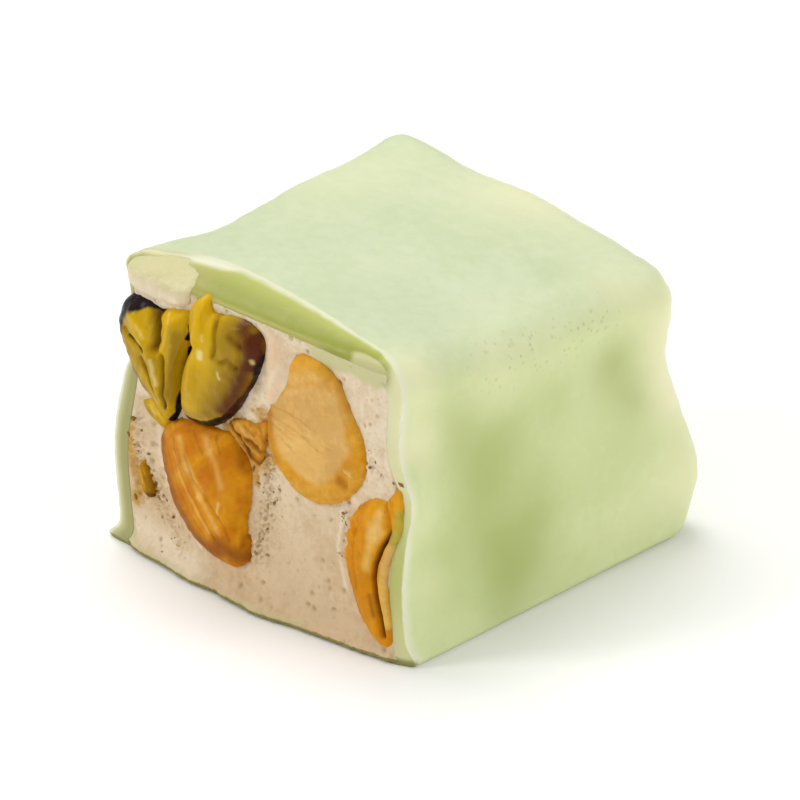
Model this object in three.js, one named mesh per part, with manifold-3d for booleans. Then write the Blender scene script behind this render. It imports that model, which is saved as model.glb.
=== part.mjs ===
// Half of a soft nougat bar, cut across: white nougat with roasted almonds and a split pistachio,
// dipped in a pale green coating that broke away along the top of the cut.
// Millimetres. X runs across the cut face, Y from the cut to the rounded end, Z up. The origin is
// on the surface that the piece stands on, under the middle.
import * as THREE from 'three';
import { mergeVertices } from 'three/addons/utils/BufferGeometryUtils.js';
import Module from 'manifold-3d';

const wasm = await Module();
wasm.setup();

// ---------------------------------------------------------------- driving dimensions
const cutY = -9.8; // the plane that the knife followed
const endY = 9.9; // the rounded end, above its belly
const halfWidth = 9.3; // half way up
const height = 16;
const coat = 0.9; // coating on the sides and the end
const lid = 1.0; // coating on the top
const sole = 0.45; // coating underneath
const gap = 0.2; // left between neighbouring pieces
const sliver = 0.03; // edges shorter than this are closed up after a cut

const bend = 4; // facets round each long edge
const flat = 10; // facets across each side
const around = 4 * (bend + flat);

// ---------------------------------------------------------------- small helpers
const lerp = THREE.MathUtils.lerp;
const rise = (value, from, to) => THREE.MathUtils.smoothstep(value, from, to);
const hump = (distance, reach) => Math.exp(-((distance / reach) ** 2));

// A closed skin: rings of points from one pole to the other. Seen from outside pole 0 the rings
// run anticlockwise.
function skin(rings, perRing, place) {
  const geometry = new THREE.SphereGeometry(1, perRing, rings);
  const position = geometry.getAttribute('position');
  for (let ring = 0; ring <= rings; ring++) {
    for (let step = 0; step <= perRing; step++) {
      const point = place(ring, step % perRing);
      position.setXYZ(ring * (perRing + 1) + step, point.x, point.y, point.z);
    }
  }
  geometry.deleteAttribute('normal');
  geometry.deleteAttribute('uv');
  return mergeVertices(geometry, 1e-4);
}

function solidOf(geometry) {
  const vertProperties = new Float32Array(geometry.getAttribute('position').array);
  const triVerts = new Uint32Array(geometry.index.array);
  return new wasm.Manifold(new wasm.Mesh({ numProp: 3, vertProperties, triVerts }));
}

// The largest body of a solid, so that a cut leaves no loose scrap behind, without the slivers
// that a cut leaves along its edges.
function geometryOf(solid) {
  const bodies = solid.asOriginal().simplify(sliver).decompose().sort((a, b) => b.volume() - a.volume());
  const mesh = bodies[0].getMesh();
  const geometry = new THREE.BufferGeometry();
  geometry.setAttribute('position', new THREE.BufferAttribute(mesh.vertProperties, 3));
  geometry.setIndex(new THREE.BufferAttribute(mesh.triVerts, 1));
  return geometry;
}

// ---------------------------------------------------------------- the form of the bar
// Radii of the long edges, from the lower right one round by the top.
function edgeRadii(y, inset) {
  const lower = lerp(0.4, 0.9, rise(y, cutY + 3, endY));
  return [lower, 2.2, 1.1, lower].map((radius) => Math.max(radius - 0.85 * inset, 0.25));
}

// One point of the straight bar's section, anticlockwise seen from the cut.
function section(step, y, inset, low, high) {
  const radii = edgeRadii(y, inset);
  const halfSpan = halfWidth - inset;
  const corners = radii.map((radius, n) => ({
    radius,
    x: (n === 0 || n === 1 ? 1 : -1) * (halfSpan - radius),
    z: n === 0 || n === 3 ? low + radius : high - radius,
  }));
  const arcPoint = (corner, quarter, share) => {
    const angle = (quarter - 1 + share) * (Math.PI / 2);
    return [corner.x + corner.radius * Math.cos(angle), corner.z + corner.radius * Math.sin(angle)];
  };
  const quarter = Math.floor(step / (bend + flat));
  const within = step % (bend + flat);
  if (within <= bend) return arcPoint(corners[quarter], quarter, within / bend);
  const [x0, z0] = arcPoint(corners[quarter], quarter, 1);
  const next = (quarter + 1) % 4;
  const [x1, z1] = arcPoint(corners[next], next, 0);
  const share = (within - bend) / flat;
  return [lerp(x0, x1, share), lerp(z0, z1, share)];
}

// Where the knife left the cut surface: the soft nougat drags forward low down in the middle.
function cutAt(x, z) {
  return cutY - hump(x + 1.8, 6) * (1 - rise(z, 0, 8));
}

// Swells and dents that the dipping left: where, how far they reach, and the push in X, Y and Z.
const swells = [
  { at: [9.3, cutY, 8.8], reach: 1.6, push: [0.5, 0, 0] }, // pushed out by the almond behind it
  { at: [9.3, cutY, 11.4], reach: 1.8, push: [-0.25, 0, 0] },
  { at: [9.3, cutY, 3.4], reach: 2.2, push: [-0.3, 0, 0] },
  { at: [9.3, -6.8, 11], reach: 2.4, push: [-0.25, 0, 0] },
  { at: [9.3, -3.4, 4.2], reach: 2.8, push: [-0.35, 0, 0] },
  { at: [9.3, 0.2, 8.2], reach: 2.6, push: [0.15, 0, 0] },
  { at: [9.3, 4.6, 11.4], reach: 2.2, push: [-0.45, 0, 0] },
  { at: [9.3, endY, 10.6], reach: 2, push: [-0.25, -0.3, 0] },
  { at: [9.3, 6.6, 5], reach: 3.4, push: [0.25, 0.1, 0] },
  { at: [-9.3, cutY, 5.6], reach: 3.2, push: [-0.75, 0, 0] },
  { at: [-9.3, -2, 9.5], reach: 3.5, push: [0.25, 0, 0] },
  { at: [-9.3, 4.5, 5], reach: 3.2, push: [-0.2, 0, 0] },
  { at: [-9.3, cutY + 0.8, 15.4], reach: 2.6, push: [-0.5, 0, 0] },
  { at: [-9.3, -4, height], reach: 4, push: [0.15, 0, -0.3] },
  { at: [-8.2, 8.4, height], reach: 2, push: [0, 0, 0.2] },
  { at: [-2.8, 8.6, height], reach: 2.4, push: [0, -0.25, -0.2] },
  { at: [-4, endY, 9], reach: 3.2, push: [0, 0.3, 0] },
  { at: [3.5, endY, 6], reach: 2.8, push: [0, -0.3, 0] },
];

// Takes a point of the straight bar to where the soft, dipped bar has it. The base stays flat.
function settle(x, y, z) {
  const up = z / height;
  const along = (y - cutY) / (endY - cutY);
  const side = x / halfWidth;
  const taper = 1 + 0.05 * (0.5 - up);
  const belly = hump(z - 4, 3.4) * rise(along, 0.3, 1);
  const toe = hump(z, 0.8);
  const fin = side < 0 ? toe * hump(y - cutY, 2.5) : 0;
  const droop = up * rise(x, -3, 9.5) * (1.2 * rise(y, cutY, -1) + 0.5 * rise(y, 2, 9));
  const point = new THREE.Vector3(
    x * taper + side * (0.45 * belly + 0.25 * toe + 0.95 * fin),
    y + 0.7 * hump(z - 4, 3.4) * rise(along, 0.6, 1) + 0.3 * fin + 0.035 * x * along,
    z - droop,
  );
  for (const { at, reach, push } of swells) {
    const weight = hump(Math.hypot(x - at[0], y - at[1], z - at[2]), reach);
    point.x += weight * push[0];
    point.y += weight * push[1];
    point.z += weight * push[2] * up;
  }
  return point;
}

// ---------------------------------------------------------------- coating
// How far behind the cut the outside of the coating broke: along the top, and down the upper left.
function chipDepth(x, z) {
  const deepest = -4.5;
  const share = x > deepest ? ((x - deepest) / 13) ** 1.6 : ((deepest - x) / 4.5) ** 2;
  const top = (0.3 + 2.15 * Math.max(1 - share, 0)) * rise(z, 13.6, 15.6);
  const left = x < 0 ? 0.5 * rise(z, 9, 11) * (1 - rise(z, 13.6, 15.6)) : 0;
  return top + left;
}

// How much thinner the coating is where the almond presses against it, at the right of the cut.
function wallThinned(x, y, z) {
  return x > 0 ? 0.45 * hump(z - 8.4, 1.3) * hump(y - cutY, 2) : 0;
}

const endRound = 1.8; // the edges round the far end

// The stations of the coating's skin, from the inside of its far wall forwards, over the broken
// rim, and back along the outside. Grown, it is that much larger all over.
function coatingStations(grow) {
  const innerEnd = endY - coat + grow;
  const innerRound = endRound - coat;
  const stations = [];
  const inside = (y, extra, scale) => {
    stations.push({
      scale,
      thin: 1,
      inset: coat + grow + extra,
      low: sole + grow + extra,
      high: height - lid - grow - extra,
      reach: () => y,
    });
  };
  for (const scale of [0, 0.35, 0.7]) inside(innerEnd, innerRound, scale);
  for (let n = 2; n >= 0; n--) {
    const angle = (n / 2) * (Math.PI / 2);
    inside(innerEnd - innerRound * (1 - Math.sin(angle)), innerRound * (1 - Math.cos(angle)), 1);
  }
  const wallSteps = 7;
  for (let n = 1; n < wallSteps; n++) {
    inside(lerp(innerEnd - innerRound, cutY - grow, n / wallSteps), 0, 1);
  }
  const rimSteps = 3;
  for (let n = 0; n <= rimSteps; n++) {
    const share = n / rimSteps;
    stations.push({
      scale: 1,
      thin: 1 - share,
      inset: lerp(coat + grow, -grow, share),
      low: lerp(sole + grow, -grow, share),
      high: lerp(height - lid - grow, height + grow, share ** 0.7),
      reach: (x, z) => cutAt(x, z) - grow + chipDepth(x, z) * share ** 1.7,
    });
  }
  const outsideSteps = 15;
  for (let n = 1; n <= outsideSteps; n++) {
    stations.push({
      scale: 1,
      inset: -grow,
      low: -grow,
      high: height + grow,
      reach: (x, z) =>
        lerp(cutAt(x, z) - grow + chipDepth(x, z), endY + grow - endRound, n / outsideSteps),
    });
  }
  const roundSteps = 4;
  for (let n = 1; n <= roundSteps; n++) {
    const angle = (n / roundSteps) * (Math.PI / 2);
    const extra = endRound * (1 - Math.cos(angle));
    stations.push({
      scale: 1,
      inset: extra - grow,
      low: extra - grow,
      high: height - extra + grow,
      reach: () => endY + grow - endRound * (1 - Math.sin(angle)),
    });
  }
  for (const scale of [0.75, 0.5, 0.25, 0]) {
    stations.push({
      scale,
      inset: endRound - grow,
      low: endRound - grow,
      high: height - endRound + grow,
      reach: () => endY + grow,
    });
  }
  return stations;
}

function coatingForm(grow) {
  const stations = coatingStations(grow);
  const middle = height / 2;
  return skin(stations.length - 1, around, (ring, step) => {
    const { scale, thin = 0, inset, low, high, reach } = stations[ring];
    const [x, z] = section(step, scale < 1 ? endY : reach(0, 0), inset, low, high);
    const y = reach(x, z);
    const thinned = x + thin * wallThinned(x, y, z);
    return settle(thinned * scale, y, lerp(middle, z, scale));
  });
}

// ---------------------------------------------------------------- nougat
// The cut face of the nougat: it drags a little, and swells towards the lump at the upper left.
function nougatFace(x, z) {
  const drag = 0.1 * Math.sin(0.9 * x + 0.5 * z) * Math.sin(0.7 * z - 0.4 * x + 1);
  const swell = 0.35 * rise(-x, 4.6, 6.4) * rise(z, 13, 14.4);
  return cutAt(x, z) + 0.1 - drag - swell;
}

function nougatForm() {
  const inset = coat + gap;
  const low = sole + gap;
  const high = height - lid - gap;
  const innerEnd = endY - coat - gap;
  const innerRound = endRound - coat;
  const faceSteps = 9;
  const wallSteps = 7;
  const backSteps = 6;
  const middle = height / 2;
  return skin(faceSteps + wallSteps + backSteps, around, (ring, step) => {
    const back = Math.max(ring - faceSteps - wallSteps, 0);
    const angle = Math.min(back / 3, 1) * (Math.PI / 2);
    const extra = innerRound * (1 - Math.cos(angle));
    const [x, z] = section(step, cutY, inset + extra, low + extra, high - extra);
    if (ring < faceSteps) {
      const share = ring / faceSteps;
      const [faceX, faceZ] = [x * share, lerp(middle, z, share)];
      return settle(faceX, nougatFace(faceX, faceZ), faceZ);
    }
    if (back > 3) {
      const share = 1 - (back - 3) / 3;
      return settle(x * share, innerEnd, lerp(middle, z, share));
    }
    const wall = Math.min((ring - faceSteps) / wallSteps, 1);
    const far = innerEnd - innerRound * (1 - Math.sin(angle));
    return settle(x, lerp(nougatFace(x, z), far, wall), z);
  });
}

// The lump that was dragged up over the broken coating.
function lumpForm() {
  return skin(8, 16, (ring, step) => {
    const polar = (ring / 8) * Math.PI;
    const turn = (step / 16) * 2 * Math.PI;
    return new THREE.Vector3(
      -6.9 + 2 * Math.sin(polar) * Math.cos(turn),
      cutY + 0.2 - 0.8 * Math.cos(polar),
      14.8 + 0.9 * Math.sin(polar) * Math.sin(turn),
    );
  });
}

// ---------------------------------------------------------------- nuts
// A nut as the cut shows it: its outline in the plane of the cut, anticlockwise seen from the
// front, round its heart, how far its edge and its middle stand proud, how deep it sits, and
// where its far end leans. Grown, it is the pocket that it leaves.
function nutForm({ outline, heart, edge, dome, depth, lean = [0, 0], steps = 24 }, grow = 0) {
  const points = outline.map(([x, z]) => new THREE.Vector3(x, 0, z));
  const curve = new THREE.CatmullRomCurve3(points, true, 'centripetal');
  const rim = curve.getSpacedPoints(steps).slice(0, steps);
  const centre = new THREE.Vector3(heart[0], 0, heart[1]);
  rim.forEach((point, n) => {
    const along = curve.getTangentAt(n / steps);
    point.add(new THREE.Vector3(along.z, 0, -along.x).multiplyScalar(grow));
  });
  const faceSteps = 4;
  const backSteps = 5;
  return skin(faceSteps + backSteps, steps, (ring, step) => {
    const arm = rim[step].clone().sub(centre);
    const front = (at) => cutAt(at.x, at.z) - edge;
    if (ring <= faceSteps) {
      const share = ring / faceSteps;
      const point = centre.clone().addScaledVector(arm, share);
      point.y = front(point) - dome * (1 - share ** 2.2) - grow;
      return point;
    }
    const angle = ((ring - faceSteps) / backSteps) * (Math.PI / 2);
    const sunk = Math.sin(angle);
    const point = centre.clone().addScaledVector(arm, Math.cos(angle));
    point.x += lean[0] * sunk;
    point.z += lean[1] * sunk;
    point.y = lerp(front(rim[step]), cutY + depth + grow, sunk);
    return point;
  });
}

const nuts = {
  // An almond broken along its length, lying point down in the lower left.
  almond_lower: {
    outline: [
      [-0.6, 5.8], [-0.9, 7.6], [-1.9, 8.2], [-5, 8], [-6.5, 7.4], [-6.6, 6],
      [-5.9, 4.4], [-4.6, 3], [-2.8, 2], [-1, 2.1], [-0.3, 2.9], [-0.8, 4.3],
    ],
    heart: [-3.4, 5.4], edge: 0.1, dome: 0.35, depth: 4.5, lean: [0.3, 0.4],
  },
  // An almond that the knife went straight through.
  almond_middle: {
    outline: [
      [6.8, 9.8], [6.5, 11.1], [5.6, 12.7], [4.3, 14.1], [2.7, 14.5], [1.7, 13.4],
      [0.5, 11.1], [0, 9.4], [0.9, 7.6], [2.8, 6.7], [4.7, 7.1], [6.2, 8.4],
    ],
    heart: [3.4, 10.5], edge: 0.05, dome: 0.12, depth: 6, lean: [-0.3, -0.5],
  },
  // An almond against the coating in the lower right.
  almond_right: {
    outline: [
      [9.6, 9.2], [8.2, 8.8], [6.5, 7.9], [5.5, 6.5], [5.4, 4.8], [5.8, 3.3], [6.7, 1.6],
      [7.6, 0.9], [8.4, 1.4], [7.9, 3], [7.6, 4.4], [8, 5.9], [9.2, 7], [9.7, 8.3],
    ],
    heart: [6.8, 5.2], edge: 0.08, dome: 0.25, depth: 4, lean: [-0.2, 0.4],
  },
  // The two halves of the pistachio, sprung apart and standing out of the cut.
  pistachio_left: {
    outline: [
      [-5.4, 9.4], [-5.2, 11.6], [-4.6, 13.7], [-6.2, 14.2], [-8.4, 13.9],
      [-9.4, 12.9], [-9.3, 11.4], [-8.5, 9.8], [-7.4, 8.7], [-6.1, 8],
    ],
    heart: [-7, 11.6], edge: 0.35, dome: 0.6, depth: 3.2, lean: [0.5, 0],
  },
  pistachio_right: {
    outline: [
      [-0.2, 13.3], [-0.2, 14.6], [-1.4, 15.1], [-2.8, 15], [-3.5, 15.8], [-4.4, 14.7],
      [-4.7, 12.6], [-5, 10.4], [-4.8, 8.7], [-3.5, 8.6], [-1.9, 9.8], [-0.7, 11.9],
    ],
    heart: [-2.9, 12], edge: 0.25, dome: 0.65, depth: 3.6, lean: [0.2, -0.6],
  },
  // Splinters and crumbs of nut between the large pieces.
  almond_splinter: {
    outline: [[-7.2, 3.7], [-7.6, 4.6], [-8.2, 5.6], [-8.6, 6.2], [-8.4, 4.6], [-7.8, 3.6]],
    heart: [-8, 4.8], edge: 0.05, dome: 0.12, depth: 1.2, steps: 14,
  },
  almond_crumb: {
    outline: [[-0.3, 7.6], [-0.3, 8.6], [-0.9, 9.1], [-1.4, 9], [-1.3, 8.6], [-0.7, 8.1]],
    heart: [-0.8, 8.6], edge: 0.05, dome: 0.15, depth: 1.2, steps: 14,
  },
  pistachio_crumb: {
    outline: [[-6.7, 7.6], [-7.2, 8], [-7.8, 8.3], [-8.2, 8.1], [-7.9, 7.5], [-7.2, 7.2]],
    heart: [-7.4, 7.8], edge: 0.05, dome: 0.15, depth: 1, steps: 14,
  },
};

// ---------------------------------------------------------------- the piece
const finishes = {
  coating: { color: 0xd3dfb4, roughness: 0.38 },
  nougat: { color: 0xe6d5b8, roughness: 0.75 },
  almond: { color: 0xd2912f, roughness: 0.5 },
  pistachio: { color: 0xb59a1c, roughness: 0.45 },
};

const piece = new THREE.Group();

function add(name, geometry) {
  const finish = finishes[name.split('_')[0]];
  const material = new THREE.MeshStandardMaterial({ ...finish, metalness: 0 });
  const mesh = new THREE.Mesh(geometry, material);
  mesh.name = name;
  piece.add(mesh);
}

const coatingRoom = solidOf(coatingForm(gap));
let nougat = solidOf(nougatForm()).add(solidOf(lumpForm()).subtract(coatingRoom));

add('coating', coatingForm(0));
for (const [name, nut] of Object.entries(nuts)) {
  add(name, geometryOf(solidOf(nutForm(nut)).subtract(coatingRoom)));
  nougat = nougat.subtract(solidOf(nutForm(nut, gap)));
}
add('nougat', geometryOf(nougat));

export default piece;
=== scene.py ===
import math

import bmesh
import bpy
import numpy as np
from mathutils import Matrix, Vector, noise


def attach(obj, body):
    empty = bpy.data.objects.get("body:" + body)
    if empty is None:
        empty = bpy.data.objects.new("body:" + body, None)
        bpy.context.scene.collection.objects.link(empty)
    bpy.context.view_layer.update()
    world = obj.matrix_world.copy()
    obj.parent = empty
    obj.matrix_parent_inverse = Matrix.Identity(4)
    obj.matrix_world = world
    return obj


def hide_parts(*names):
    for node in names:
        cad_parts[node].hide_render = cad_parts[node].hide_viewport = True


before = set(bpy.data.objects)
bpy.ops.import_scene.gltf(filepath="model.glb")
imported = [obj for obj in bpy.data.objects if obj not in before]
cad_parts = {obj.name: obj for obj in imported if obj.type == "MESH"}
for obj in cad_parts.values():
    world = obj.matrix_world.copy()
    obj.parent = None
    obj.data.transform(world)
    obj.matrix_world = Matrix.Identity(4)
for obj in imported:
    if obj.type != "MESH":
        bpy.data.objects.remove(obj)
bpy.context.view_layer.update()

# ------------------------ the view
# The half bar stands on white card. A large soft light hangs over its back left corner, a weaker
# one stands in front on the left for the cut, and the room fills in from all round.
MM = 0.001  # forms are worked out in millimetres and laid down in metres
view_azimuth = 43.5  # degrees round from the front, as for the lights
view_elevation = 27
view_distance = 0.6
light_distance = 0.5
aim = Vector((-0.3, -0.07, 7.41)) * MM


def from_aim(azimuth, elevation, distance):
    """The point that lies in a direction, in degrees, from the middle of the view."""
    azimuth, elevation = math.radians(azimuth), math.radians(elevation)
    level = math.cos(elevation)
    toward = Vector((math.sin(azimuth) * level, -math.cos(azimuth) * level, math.sin(elevation)))
    return aim + distance * toward


def face_aim(thing):
    thing.rotation_euler = (thing.location - aim).to_track_quat("Z", "Y").to_euler()


def in_scene(name, data):
    """A new object in the scene, at the origin."""
    thing = bpy.data.objects.new(name, data)
    bpy.context.scene.collection.objects.link(thing)
    return thing


camera = in_scene("camera", bpy.data.cameras.new("camera"))
camera.data.lens = 558
camera.data.clip_start = 0.01
camera.location = from_aim(view_azimuth, view_elevation, view_distance)
face_aim(camera)
bpy.context.scene.camera = camera
bpy.context.scene.view_settings.view_transform = "Standard"


def soft_light(name, azimuth, elevation, width, power, tint):
    lamp = bpy.data.lights.new(name, "AREA")
    lamp.shape = "DISK"
    lamp.size = width
    lamp.energy = power
    lamp.color = tint
    light = in_scene(name, lamp)
    light.location = from_aim(azimuth, elevation, light_distance)
    face_aim(light)


warm_white = (1.0, 0.99, 0.97)
soft_light("overhead", -110, 68, width=0.34, power=1.24, tint=warm_white)
soft_light("front_left", -35, 38, width=0.14, power=0.6, tint=warm_white)
soft_light("right", 104, 30, width=0.3, power=0.67, tint=(1.0, 1.0, 0.98))

room = bpy.data.worlds.new("room")
room.use_nodes = True
room_light = room.node_tree.nodes["Background"].inputs
room_light["Color"].default_value = (1.0, 1.0, 1.0, 1.0)
room_light["Strength"].default_value = 0.52
bpy.context.scene.world = room


def feed(tree, node, inputs):
    """Sets a node's inputs to plain values, or links them to other nodes."""
    for key, value in inputs.items():
        if isinstance(value, bpy.types.NodeSocket):
            tree.links.new(value, node.inputs[key])
        else:
            node.inputs[key].default_value = value


def add(tree, kind, inputs, **settings):
    """A new node with its settings and its inputs."""
    node = tree.nodes.new(kind)
    for key, value in settings.items():
        setattr(node, key, value)
    feed(tree, node, inputs)
    return node


def colour(code):
    """A colour written as on screen, in the linear values that shaders work in."""
    shares = [int(code[n:n + 2], 16) / 255 for n in (1, 3, 5)]
    linear = [s / 12.92 if s <= 0.04045 else ((s + 0.055) / 1.055) ** 2.4 for s in shares]
    return (*linear, 1.0)


def new_material(name):
    """A material with its node tree, its Principled shader, and its Object coordinates."""
    material = bpy.data.materials.new(name)
    material.use_nodes = True
    tree = material.node_tree
    place = add(tree, "ShaderNodeTexCoord", {}).outputs["Object"]
    return material, tree, tree.nodes["Principled BSDF"], place


def noisy(tree, place, scale, detail=3.0, roughness=0.5):
    """Procedural noise, with its lumps counted per metre."""
    inputs = {"Vector": place, "Scale": scale, "Detail": detail, "Roughness": roughness}
    return add(tree, "ShaderNodeTexNoise", inputs).outputs["Fac"]


def bumped(tree, height, distance, strength):
    inputs = {"Height": height, "Distance": distance, "Strength": strength}
    return add(tree, "ShaderNodeBump", inputs).outputs["Normal"]


card_material, tree, shader, place = new_material("white_card")
paper_grain = noisy(tree, place, 900.0, detail=4.0)
feed(tree, shader, {
    "Base Color": colour("#fbfbfa"),
    "Normal": bumped(tree, paper_grain, 0.0001, 0.04),
    "Roughness": 0.85,
})


def as_mesh(name, shape):
    """The mesh that a shape is kept as."""
    mesh = bpy.data.meshes.new(name)
    shape.to_mesh(mesh)
    shape.free()
    return mesh


card_shape = bmesh.new()
bmesh.ops.create_grid(card_shape, x_segments=1, y_segments=1, size=8.0)
card = in_scene("card", as_mesh("card", card_shape))
card.data.materials.append(card_material)

# ------------------------ the nougat
# The core of the bar: egg white whipped into boiled honey and sugar, set with nuts through it. It
# was poured as a slab, sawn, dipped, and then cut across with a knife, which dragged the soft,
# faintly airy mass into low waves, pits and torn places.
cut_y = -9.8  # the plane that the knife followed
end_y = 9.9  # the rounded end, above its belly
half_width = 9.3
height = 16.0
coat = 0.9  # coating on the sides and the end
lid = 1.0  # coating on the top
sole = 0.45  # coating underneath
end_round = 1.8  # the edges round the far end


def lerp(start, end, share):
    return start + (end - start) * share


def rise(value, start, end):
    share = np.clip((value - start) / (end - start), 0, 1)
    return share * share * (3 - 2 * share)


def hump(distance, reach):
    return np.exp(-((distance / reach) ** 2))


def section(turn, y, inset, low, high):
    """The straight bar's section at a turn from 0 to 4, anticlockwise seen from the cut: each
    quarter is a rounded corner and then a flat side."""
    corner_share = 0.3  # of each quarter
    foot_round = lerp(0.4, 0.9, rise(y, cut_y + 3, end_y))
    right_round, left_round = 2.2, 1.1  # along the top
    quarter = np.floor(turn).astype(int) % 4
    passed = turn - np.floor(turn)

    def on_corner(which, share):
        radius = np.choose(which, [foot_round, right_round, left_round, foot_round])
        radius = np.maximum(radius - 0.85 * inset, 0.25)
        x = np.where(which < 2, 1, -1) * (half_width - inset - radius)
        z = np.where((which == 1) | (which == 2), high - radius, low + radius)
        angle = (which - 1 + share) * (math.pi / 2)
        return x + radius * np.cos(angle), z + radius * np.sin(angle)

    x0, z0 = on_corner(quarter, np.clip(passed / corner_share, 0, 1))
    x1, z1 = on_corner((quarter + 1) % 4, 0 * passed)
    share = np.clip((passed - corner_share) / (1 - corner_share), 0, 1)
    return lerp(x0, x1, share), lerp(z0, z1, share)


def cut_at(x, z):
    """Where the knife left the cut surface: the soft nougat drags forward low down in the middle."""
    return cut_y - hump(x + 1.8, 6) * (1 - rise(z, 0, 8))


# Swells and dents that the dipping left: where, how far they reach, and the push in X, Y and Z.
swells = [
    ((9.3, cut_y, 8.8), 1.6, (0.5, 0, 0)),  # pushed out by the almond behind it
    ((9.3, cut_y, 11.4), 1.8, (-0.25, 0, 0)),
    ((9.3, cut_y, 3.4), 2.2, (-0.3, 0, 0)),
    ((9.3, -6.8, 11), 2.4, (-0.25, 0, 0)),
    ((9.3, -3.4, 4.2), 2.8, (-0.35, 0, 0)),
    ((9.3, 0.2, 8.2), 2.6, (0.15, 0, 0)),
    ((9.3, 4.6, 11.4), 2.2, (-0.45, 0, 0)),
    ((9.3, end_y, 10.6), 2, (-0.25, -0.3, 0)),
    ((9.3, 6.6, 5), 3.4, (0.25, 0.1, 0)),
    ((-9.3, cut_y, 5.6), 3.2, (-0.75, 0, 0)),
    ((-9.3, -2, 9.5), 3.5, (0.25, 0, 0)),
    ((-9.3, 4.5, 5), 3.2, (-0.2, 0, 0)),
    ((-9.3, cut_y + 0.8, 15.4), 2.6, (-0.5, 0, 0)),
    ((-9.3, -4, height), 4, (0.15, 0, -0.3)),
    ((-8.2, 8.4, height), 2, (0, 0, 0.35)),
    ((-2.8, 8.6, height), 2.4, (0, -0.25, -0.2)),
    ((-4, end_y, 9), 3.2, (0, 0.3, 0)),
    ((3.5, end_y, 6), 2.8, (0, -0.3, 0)),
    ((9.3, end_y, 2.6), 2.6, (0.2, 0.25, 0)),
]


def near_spot(x, y, z, spot, reach):
    """1 at a spot, falling off over a reach."""
    return hump(np.sqrt((x - spot[0]) ** 2 + (y - spot[1]) ** 2 + (z - spot[2]) ** 2), reach)


def settle(x, y, z):
    """Takes points of the straight bar to where the soft, dipped bar has them, its base flat."""
    up = z / height
    along = (y - cut_y) / (end_y - cut_y)
    side = x / half_width
    taper = 1 + 0.05 * (0.5 - up)
    belly = hump(z - 4, 3.4) * rise(along, 0.3, 1)
    toe = hump(z, 0.8)
    fin = toe * hump(y - cut_y, 2.5) * rise(-x, 0, 3)
    droop = up * rise(x, -3, 9.5) * (1.2 * rise(y, cut_y, -1) + 0.5 * rise(y, 2, 9))
    settled = [
        x * taper + side * (0.45 * belly + 0.25 * toe + 0.95 * fin),
        y + 0.7 * hump(z - 4, 3.4) * rise(along, 0.6, 1) + 0.3 * fin + 0.035 * x * along,
        z - droop,
    ]
    for spot, reach, (push_x, push_y, push_z) in swells:
        weight = near_spot(x, y, z, spot, reach)
        settled[0] = settled[0] + weight * push_x
        settled[1] = settled[1] + weight * push_y
        settled[2] = settled[2] + weight * push_z * up
    return settled


def read_points(mesh):
    """The places of a mesh's vertices, as rows of X, Y and Z."""
    values = np.zeros(len(mesh.vertices) * 3)
    mesh.vertices.foreach_get("co", values)
    return values.reshape(-1, 3).T


def lay(mesh, x, y, z):
    """Moves a mesh's vertices to places given in millimetres."""
    mesh.vertices.foreach_set("co", (np.stack([x, y, z], 1) * MM).ravel())
    mesh.update()


def grain(x, y, z, size, seed):
    """Smooth noise from about -1 to 1 at each place, with lumps of about that size."""
    places = zip(x / size + seed, y / size, z / size)
    return np.array([noise.noise(place) for place in places])


def grained(x, y, z, *layers):
    """Layers of grain added up, each with its strength, its size and its seed."""
    return sum(strength * grain(x, y, z, size, seed) for strength, size, seed in layers)


def mark(mesh, name, values):
    """Keeps one number for each vertex, for the material to read."""
    mesh.attributes.new(name, "FLOAT", "POINT").data.foreach_set("value", values.astype(np.float32))


def mark_input(tree, name):
    return add(tree, "ShaderNodeAttribute", {}, attribute_name=name).outputs["Fac"]


def finish(name, mesh, material, nodes):
    """Makes a mesh a piece of the bar, with its faces smooth and turned outwards."""
    shape = bmesh.new()
    shape.from_mesh(mesh)
    bmesh.ops.recalc_face_normals(shape, faces=shape.faces)
    for face in shape.faces:
        face.smooth = True
    shape.to_mesh(mesh)
    shape.free()
    piece = in_scene(name, mesh)
    piece.data.materials.append(material)
    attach(piece, "root")
    if nodes:
        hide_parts(*nodes)


def off_line(x, z, points):
    """How far places on the cut are from a line through the given points."""
    nearest = np.inf
    for (x0, z0), (x1, z1) in zip(points, points[1:]):
        run_x, run_z = x1 - x0, z1 - z0
        share = ((x - x0) * run_x + (z - z0) * run_z) / (run_x ** 2 + run_z ** 2)
        share = np.clip(share, 0, 1)
        nearest = np.minimum(nearest, np.hypot(x - x0 - share * run_x, z - z0 - share * run_z))
    return nearest


def stroked(x, z, strokes):
    """Strokes drawn on the cut and added up, each with its width, its strength and its points."""
    return 0 * x + sum(
        strength * hump(off_line(x, z, points), width) for width, strength, *points in strokes
    )


# A flat grid becomes the cut face. Its edge is drawn back along the walls and closed behind.
nougat_inset = coat - 0.25  # it reaches a little way into the coating, which hides its edge
face_right = half_width - nougat_inset
face_low, face_high = 0.14, height - lid + 0.25
nougat_back = end_y - coat - 0.2

nougat_shape = bmesh.new()
bmesh.ops.create_grid(nougat_shape, x_segments=250, y_segments=205, size=1.0)
for vertex in nougat_shape.verts:
    vertex.co.z = 0
open_edges = [edge for edge in nougat_shape.edges if edge.is_boundary]
wall_steps = 12
for step in range(1, wall_steps + 1):
    drawn = bmesh.ops.extrude_edge_only(nougat_shape, edges=open_edges)["geom"]
    open_edges = [part for part in drawn if isinstance(part, bmesh.types.BMEdge)]
    for vertex in (part for part in drawn if isinstance(part, bmesh.types.BMVert)):
        vertex.co.z = step / wall_steps
bmesh.ops.holes_fill(nougat_shape, edges=open_edges, sides=0)
nougat_mesh = as_mesh("nougat", nougat_shape)

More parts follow.
